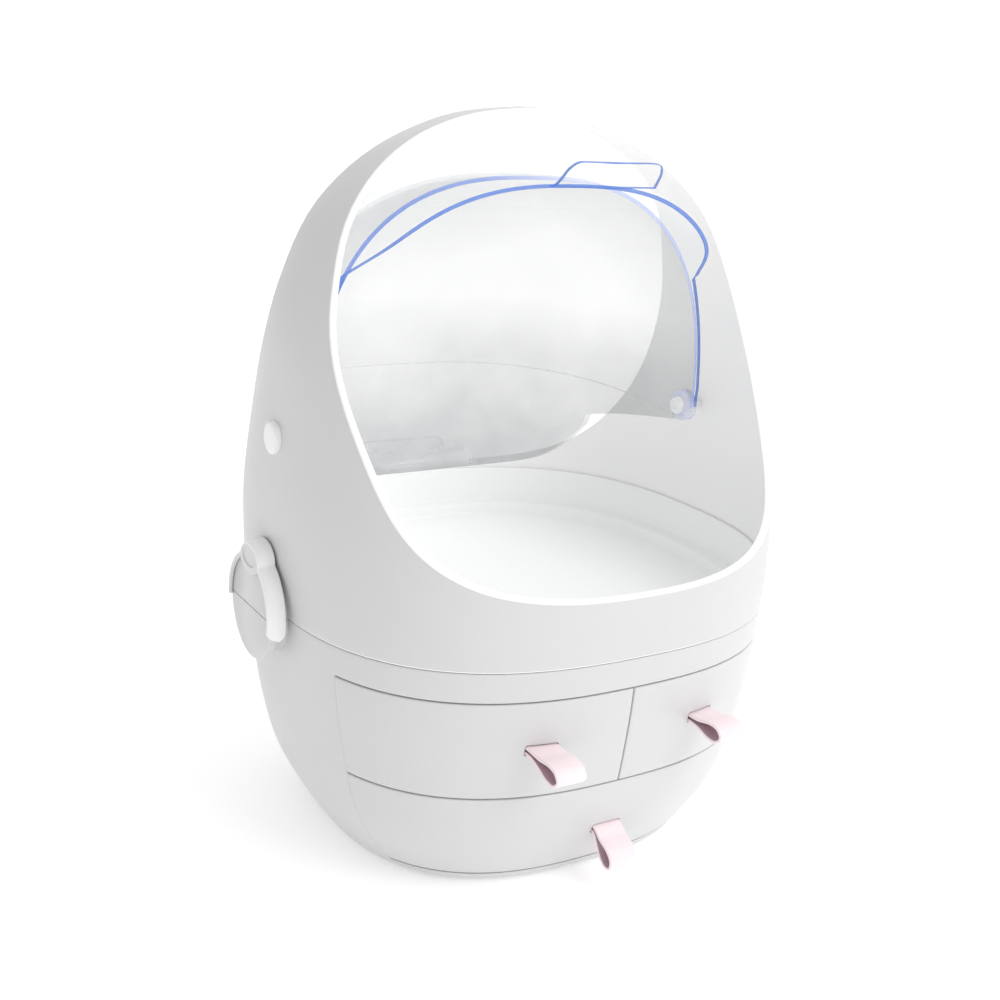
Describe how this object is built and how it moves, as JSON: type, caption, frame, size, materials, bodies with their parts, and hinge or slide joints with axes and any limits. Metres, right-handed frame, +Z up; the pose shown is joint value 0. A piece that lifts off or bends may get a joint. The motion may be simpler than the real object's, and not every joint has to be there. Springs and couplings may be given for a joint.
{
  "type": "dustproof makeup organizer",
  "caption": "Egg-shaped countertop makeup organizer: a domed tray compartment under clear covers that rotate open, on a base with sliding drawers on strap pulls.",
  "frame": {"origin": "middle of the whole box in X and Y, on the resting plane under the feet", "axes": "+Z up, the drawer fronts and the front cover's opening face -Y, +X is the viewer's right seen from the front"},
  "size_m": [0.2894, 0.2846, 0.377],
  "materials": {
    "shell": "satin",
    "tray": "satin",
    "inner": "fine matte",
    "clear": "clear gloss, blue at the edges",
    "pin": "clear gloss",
    "strap": "smooth soft pink",
    "foot": "matt"
  },
  "bodies": {
    "root": {"upper_shell": "shell", "lower_body": "shell", "tray": "tray", "face_frame": "inner", "cabinet_shelf": "inner", "cabinet_divider": "inner", "drawer_runner_left": "inner", "drawer_runner_right": "inner", "base_plate": "shell", "foot_1": "foot", "foot_2": "foot", "foot_3": "foot", "foot_4": "foot", "pivot_pin_left": "pin", "pivot_pin_right": "pin", "pivot_cap_left": "shell", "pivot_cap_right": "shell"},
    "front_cover": {"front_cover": "clear"},
    "rear_cover": {"rear_cover": "clear"},
    "drawer_upper_left": {"drawer_front_upper_left": "shell", "drawer_tub_upper_left": "inner", "pull_upper_left": "strap"},
    "drawer_upper_right": {"drawer_front_upper_right": "shell", "drawer_tub_upper_right": "inner", "pull_upper_right": "strap"},
    "drawer_lower": {"drawer_front_lower": "shell", "drawer_tub_lower": "inner", "pull_lower": "strap"},
    "lock_clip_left": {"lock_clip_left": "shell"},
    "lock_clip_right": {"lock_clip_right": "shell"}
  },
  "joints": [
    {"name": "front_cover_hinge", "type": "hinge", "parent": "root", "child": "front_cover", "pos_m": [0, 0.0066, 0.216], "axis": [1, 0, 0], "range_deg": [-14, 90]},
    {"name": "rear_cover_hinge", "type": "hinge", "parent": "root", "child": "rear_cover", "pos_m": [0, 0.0066, 0.216], "axis": [1, 0, 0], "range_deg": [0, 88]},
    {"name": "drawer_upper_left_slide", "type": "slide", "parent": "root", "child": "drawer_upper_left", "axis": [0, -1, 0], "range_m": [0, 0.1]},
    {"name": "drawer_upper_right_slide", "type": "slide", "parent": "root", "child": "drawer_upper_right", "axis": [0, -1, 0], "range_m": [0, 0.1]},
    {"name": "drawer_lower_slide", "type": "slide", "parent": "root", "child": "drawer_lower", "axis": [0, -1, 0], "range_m": [0, 0.1]},
    {"name": "lock_clip_left_turn", "type": "hinge", "parent": "root", "child": "lock_clip_left", "pos_m": [-0.139, 0.0126, 0.128], "axis": [1, 0, 0], "range_deg": [0, 80]},
    {"name": "lock_clip_right_turn", "type": "hinge", "parent": "root", "child": "lock_clip_right", "pos_m": [0.139, 0.0126, 0.128], "axis": [1, 0, 0], "range_deg": [0, 80]}
  ]
}
